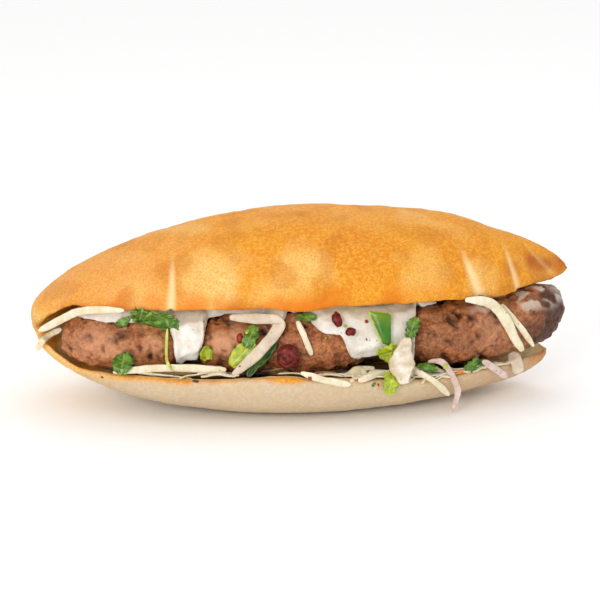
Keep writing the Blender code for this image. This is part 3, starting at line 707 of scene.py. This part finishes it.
def makeSalad():
    core = meltedCopy("salad_bed", "SaladCore", soakedAndShadedLook, salad["voxel"], salad["smoothing"])
    relief(core, lambda p: 0.8 * lumps(Vector((p.x * 0.35, p.y, p.z)), 2.6, 4.0) - 0.3)
    paint(core, "shade", [shadeAt(v.co.x / mm) for v in core.data.vertices])
    finishPiece(core, ["salad_bed"])
    tree = treeOf([loaf, core])

    def floor(x, y):
        hit = tree.ray_cast(Vector((x, y, 30.0)), Vector((0, 0, -1)), 40.0)
        return hit[0].z if hit[0] is not None else 18.0

    bm = bmesh.new()
    for low, high, count in salad["stretches"]:
        for _ in range(count):
            x = dice.uniform(low, high)
            half, slope = lipAt(x)
            y = -half * dice.uniform(0.80, 0.90)
            addShred(
                bm, Vector((x, y, dice.uniform(0.5, 1.6))), slope + dice.uniform(-0.25, 0.25),
                dice.uniform(*salad["length"]), dice.uniform(*salad["width"]), dice.uniform(-0.7, 0.7),
                dice.uniform(-0.5, 0.5), floor,
            )
    bmesh.ops.solidify(bm, geom=bm.faces[:], thickness=salad["thickness"] * mm)
    bmesh.ops.recalc_face_normals(bm, faces=bm.faces[:])
    shreds = objectFrom(bm, "SaladShreds", cabbageLook)
    rounder = shreds.modifiers.new("round", "SUBSURF")
    rounder.levels = rounder.render_levels = 1
    applyModifiers(shreds)
    paint(shreds, "across", [3.0 * lumps(v.co / mm, 5.0, 1.0) for v in shreds.data.vertices])
    return finishPiece(shreds)


strands = makeSalad()
print("salad laid")

# loose shreds, each over its CAD solid
shredPieces = {
    "cabbage_rim_left": cabbageLook, "onion_left_tip": cabbageLook, "cabbage_floor_left": cabbageLook,
    "cabbage_fold": foldLook, "cabbage_middle": cabbageLook, "cabbage_rim_middle": cabbageLook,
    "cabbage_rim_right": cabbageLook, "cabbage_hanging": cabbageLook, "onion_hanging": onionLook,
    "onion_rim_right": onionLook, "cabbage_right_low": foldLook, "cabbage_right_back": cabbageLook,
    "cabbage_right_long": cabbageLook,
}
strip = {"levels": 2, "relief": 0.2, "stalkRelief": 0.12}    # relief in mm


def acrossOf(obj):
    # distance in mm from the piece's long middle line, for ribs that run along it
    points = np.array([v.co[:] for v in obj.data.vertices]) / mm
    centred = points - points.mean(axis=0)
    ways = np.linalg.svd(centred[:: max(1, len(points) // 2000)], full_matrices=False)[2]
    return centred @ ways[1]


def makeStrips():
    made = []
    for nodeName, material in shredPieces.items():
        piece = roundedCopy(nodeName, material, strip["levels"])
        seed = len(nodeName) * 0.7
        paint(piece, "across", acrossOf(piece))
        relief(piece, lambda p: strip["relief"] * lumps(p, 3.0, seed))
        made.append(finishPiece(piece, [nodeName]))
    stalk = roundedCopy("stalk", stalkLook, strip["levels"])
    relief(stalk, lambda p: strip["stalkRelief"] * lumps(p, 2.0, 3.0))
    paint(stalk, "vein", [0.5 + 0.5 * math.sin(3.0 * v.co.x / mm) for v in stalk.data.vertices])
    made.append(finishPiece(stalk, ["stalk"]))
    return made


# leaves: each a lobed, ruffled sheet that follows its CAD solid's middle
leafPieces = {
    # node: material, number of lobes, depth of the lobes, ruffle in mm
    "herb_left_outer": (herbLook, 3.5, 0.5, 0.9), "herb_left_inner": (herbLook, 2.5, 0.5, 0.9),
    "herb_sprig_left": (herbLook, 2.0, 0.4, 0.6), "herb_low_left": (herbLook, 2.0, 0.3, 0.6),
    "herb_dot_middle": (leafLook, 1.0, 0.2, 0.5), "leaf_lime": (leafLook, 2.0, 0.15, 0.7),
    "herb_on_lime": (herbLook, 1.5, 0.3, 0.5),
    "leaf_dark_middle": (darkLook, 2.5, 0.25, 0.7), "herb_top_middle": (herbLook, 2.0, 0.4, 0.5),
    "herb_top_right": (herbLook, 2.0, 0.35, 0.7), "leaf_lime_low": (leafLook, 2.0, 0.3, 0.9),
    "leaf_low_right": (leafLook, 1.5, 0.3, 0.8), "herb_rim_right": (herbLook, 2.5, 0.4, 0.6),
    "herb_low_right": (herbLook, 2.0, 0.4, 0.6),
}
leaf = {"columns": 26, "rows": 12, "thickness": 0.45, "veinHeight": 0.2, "midribDepth": 0.15}


def makeLeaf(nodeName, material, lobes, depth, ruffle):
    cad = mergedCopy(nodeName)
    points = np.array([v.co[:] for v in cad.verts]) / mm
    corners = [[v.index for v in f.verts] for f in cad.faces]
    solid = BVHTree.FromPolygons([v.co / mm for v in cad.verts], corners)
    cad.free()
    # the leaf's own directions: along its midrib, across it and out towards the front
    centre = points.mean(axis=0)
    ways = np.linalg.svd(points - centre, full_matrices=False)[2]
    reach = np.abs((points - centre) @ ways.T).max(axis=0)
    along, across = Vector(ways[0]), Vector(ways[1])
    out = along.cross(across).normalized()
    if out.y > 0:
        out, across = -out, -across
    centre = Vector(centre)
    seed = len(nodeName) * 0.7
    bm = bmesh.new()
    layers = {name: bm.verts.layers.float.new(name) for name in ("vein", "fold")}
    sheet = bmesh.ops.create_grid(bm, x_segments=leaf["columns"], y_segments=leaf["rows"], size=1.0)["verts"]
    for vert in sheet:
        u, v = vert.co.x, vert.co.y
        outline = math.sin(math.pi * (0.07 + 0.86 * (u + 1) / 2)) ** 0.55
        tooth = abs(math.sin(math.pi * lobes * (u + 0.35 * abs(v)) + seed + (0.8 if v > 0 else 0.0)))
        outline *= 1.0 - depth * (1.0 - tooth ** 0.6)
        outline *= 1.0 + 0.12 * noise.noise(Vector((4.0 * u, 3.0 * v, seed)))
        spot = centre + along * u * reach[0] * 0.98 + across * v * outline * reach[1] * 0.96
        # halfway between the solid's two faces
        front = solid.ray_cast(spot + out * 25.0, -out, 50.0)
        back = solid.ray_cast(spot - out * 25.0, out, 50.0)
        if front[0] is not None and back[0] is not None:
            spot = (front[0] + back[0]) / 2
        else:
            near = solid.find_nearest(spot)[0]
            spot += out * (near - spot).dot(out)
        wave = 0.5 + 0.5 * math.sin(6.0 * u + seed + 2.5 * v) * math.cos(3.0 * v - seed)
        rib = softStep(0.16, 0.03, abs(v))
        side = softStep(0.75, 0.95, math.cos(2 * math.pi * 3.5 * (u - 0.5 * abs(v))))
        relieved = leaf["veinHeight"] * side - leaf["midribDepth"] * rib
        spot += out * (ruffle * wave * (0.35 + 0.65 * abs(v)) + relieved)
        vert.co = spot * mm
        vert[layers["vein"]] = max(rib, 0.6 * side)
        # painted shade where the ruffle dips back
        vert[layers["fold"]] = softStep(0.55, 0.1, wave) * 0.7
    bmesh.ops.recalc_face_normals(bm, faces=bm.faces[:])
    bmesh.ops.solidify(bm, geom=bm.faces[:], thickness=leaf["thickness"] * mm)
    bmesh.ops.recalc_face_normals(bm, faces=bm.faces[:])
    obj = objectFrom(bm, pieceNameOf(nodeName), material)
    return finishPiece(obj, [nodeName])


pepper = {"levels": 3, "cutRim": (1.5, 0.6)}    # mm from the left edge where the flesh shows


def makePepper():
    piece = roundedCopy("pepper_slice", pepperLook, pepper["levels"])
    points = [v.co / mm for v in piece.data.vertices]
    low, high = min(p.z for p in points), max(p.z for p in points)
    rims, heights = [], []
    for p, vert in zip(points, piece.data.vertices):
        share = (p.z - low) / (high - low)
        leftEdge = min(q.x for q in points[::5] if abs(q.z - p.z) < 1.2)
        facing = softStep(0.75, 0.35, -vert.normal.y)
        rims.append(max(softStep(*pepper["cutRim"], p.x - leftEdge), facing))
        heights.append(softStep(0.45, 1.0, share + 0.15 * lumps(p, 4.0, 2.0)))
    paint(piece, "rim", rims)
    paint(piece, "upper", heights)
    return finishPiece(piece, ["pepper_slice"])


berry = {"levels": 3, "lump": 0.5, "wrinkle": 0.55}    # relief in mm


def makeBerries():
    made = []

    def wrinkled(p):
        return berry["lump"] * lumps(p, 2.2, 1.0) - berry["wrinkle"] * softStep(0.1, 0.4, lumps(p, 3.0, 5.0))

    for nodeName in ("berry_large", "berry_small_high", "berry_small_low"):
        piece = roundedCopy(nodeName, berryLook, berry["levels"])
        relief(piece, wrinkled)
        made.append(finishPiece(piece, [nodeName]))
    return made


toppings = makeStrips()
toppings += [makeLeaf(nodeName, *form) for nodeName, form in leafPieces.items()]
toppings.append(makePepper())
toppings += makeBerries()
print("toppings laid")

# chopped herbs, spice and small vegetable bits, joined per kind
flecks = {
    # kind: material, slot, number strewn, smallest and largest size in mm
    "ParsleyFlecks": (fleckMaterial("ParsleyFleck", "5E8F2C", "2C5418"), "herb", 14, 0.6, 1.4),
    "ChilliFlecks": (fleckMaterial("ChilliFleck", "B23A1E", "7A1E12"), "pepper", 12, 0.5, 1.2),
    "SpiceFlecks": (fleckMaterial("SpiceFleck", "5A3A1E", "2A180C"), "meat", 30, 0.35, 0.8),
    "CarrotBits": (fleckMaterial("CarrotBit", "F08A2A", "E06C1C", 0.35), "pepper", 0, 1.2, 1.8),
    "LimeBits": (fleckMaterial("LettuceBit", "B9CC3A", "7EA02C", 0.35), "leaf", 6, 0.8, 1.6),
}
# single bits that the photograph shows: kind, x and height on the open front, length, width
placedBits = (
    ("CarrotBits", 68.4, 19.6, 3.6, 2.2),
    ("ChilliFlecks", -28.5, 37.6, 4.6, 3.2), ("ChilliFlecks", 27.0, 43.8, 1.8, 1.6),
    ("ChilliFlecks", 32.0, 15.0, 1.4, 1.0), ("ChilliFlecks", 2.2, 18.9, 1.8, 1.8),
    ("LimeBits", 17.6, 42.0, 1.9, 1.5), ("LimeBits", 62.0, 22.5, 3.0, 1.6),
    ("LimeBits", -25.2, 40.4, 1.6, 2.6),
    ("ParsleyFlecks", 30.0, 15.4, 2.4, 1.5), ("ParsleyFlecks", -69.0, 47.6, 3.0, 1.6),
    ("SpiceFlecks", -89.0, 21.4, 1.4, 1.1), ("SpiceFlecks", -47.4, 18.8, 3.2, 1.6),
)
# the flecks land where a line of sight from the photograph's side meets the food
sight = {"azimuth": -5.0, "elevation": 16.0}
openFront = -35.0    # y of the plane on which the places of single bits are measured


def addFleck(bm, spot, normal, length, width, turn):
    # a small chopped bit, flattened and pressed onto what it lies on
    ball = bmesh.ops.create_icosphere(bm, subdivisions=2, radius=0.5)["verts"]
    side = normal.orthogonal().normalized()
    other = normal.cross(side)
    way = side * math.cos(turn) + other * math.sin(turn)
    cross = normal.cross(way)
    flatness, raised = 0.45, 0.1    # shares of the width
    for vert in ball:
        u, v, w = vert.co
        rough = 1.0 + 0.35 * noise.noise(Vector((u, v, w)) * 3.0 + spot)
        form = way * u * length + cross * v * width + normal * (w * flatness * width)
        vert.co = (spot + form * rough + normal * raised * width) * mm


def towardsViewer(azimuth, elevation):
    a, e = math.radians(azimuth), math.radians(elevation)
    return Vector((math.sin(a) * math.cos(e), -math.cos(a) * math.cos(e), math.sin(e)))


def strewFlecks():
    backward = -towardsViewer(sight["azimuth"], sight["elevation"])
    tree = treeOf([loaf, yoghurt, yoghurtDrop, strands, *kebabs, *toppings])
    for kind, (material, slotName, count, smallest, largest) in flecks.items():
        bm = bmesh.new()
        wanted = [(x, z, length, width) for name, x, z, length, width in placedBits if name == kind]
        for _ in range(count):
            size = dice.uniform(smallest, largest)
            x, z = dice.uniform(-98, 108), dice.uniform(17, 47)
            wanted.append((x, z, size, size * dice.uniform(0.5, 0.9)))
        for x, z, length, width in wanted:
            start = Vector((x, openFront, z)) - backward * 45.0
            hit = tree.ray_cast(start, backward, 90.0)
            if hit[0] is None or hit[0].y > 0.0:
                continue
            normal = hit[1] if hit[1].dot(backward) < 0 else -hit[1]
            addFleck(bm, hit[0], normal, length, width, dice.uniform(0, math.pi))
        finishPiece(objectFrom(bm, kind, material))


strewFlecks()
print("flecks strewn")

# floor, light and camera
studio = {
    "floorSize": 3.0, "floorColour": "FFFFFF", "skyColour": "FFFFFF", "skyStrength": 0.92,
    # lamp: place, size in m, power in W, colour
    "lamps": {
        "KeyLight": ((-0.4, -0.95, 0.42), 0.35, 4.0, "FFF8EE"),
        "TopLight": ((0.2, 0.2, 1.0), 0.7, 1.2, "FFFFFF"),
    },
    "lampsAim": (0, 0, 0.04),
}


def makeFloor():
    bm = bmesh.new()
    bmesh.ops.create_grid(bm, x_segments=1, y_segments=1, size=studio["floorSize"])
    made, tree, shader = newMaterial("StudioPaper", Roughness=0.9)
    shader.inputs["Base Color"].default_value = hexColour(studio["floorColour"])
    floor = objectFrom(bm, "Floor", made, smooth=False)


def addLight(name, place, size, power, colour):
    lamp = bpy.data.lights.new(name, "AREA")
    lamp.shape = "DISK"
    lamp.size = size
    lamp.energy = power
    lamp.color = hexColour(colour)[:3]
    obj = bpy.data.objects.new(name, lamp)
    obj.location = place
    obj.rotation_mode = "QUATERNION"
    aim = Vector(studio["lampsAim"])
    obj.rotation_quaternion = (aim - Vector(place)).to_track_quat("-Z", "Y")
    bpy.context.scene.collection.objects.link(obj)


# the photograph's angle: a long lens from the front, a little from the left and above; in m
camera = {**sight, "distance": 1.1, "lens": 146.7, "target": (0.0009, 0.0, 0.0442)}


def makeCamera():
    back = towardsViewer(camera["azimuth"], camera["elevation"])
    data = bpy.data.cameras.new("Camera")
    data.lens = camera["lens"]
    data.clip_end = 20.0
    obj = bpy.data.objects.new("Camera", data)
    obj.location = Vector(camera["target"]) + back * camera["distance"]
    obj.rotation_mode = "QUATERNION"
    obj.rotation_quaternion = (-back).to_track_quat("-Z", "Y")
    bpy.context.scene.collection.objects.link(obj)
    bpy.context.scene.camera = obj


def makeSky():
    world = bpy.data.worlds.new("Studio")
    world.use_nodes = True
    sky = world.node_tree.nodes["Background"]
    sky.inputs["Color"].default_value = hexColour(studio["skyColour"])
    sky.inputs["Strength"].default_value = studio["skyStrength"]
    bpy.context.scene.world = world
    bpy.context.scene.view_settings.view_transform = "Standard"


makeFloor()
makeSky()
for name, form in studio["lamps"].items():
    addLight(name, *form)
makeCamera()
print("stage set")
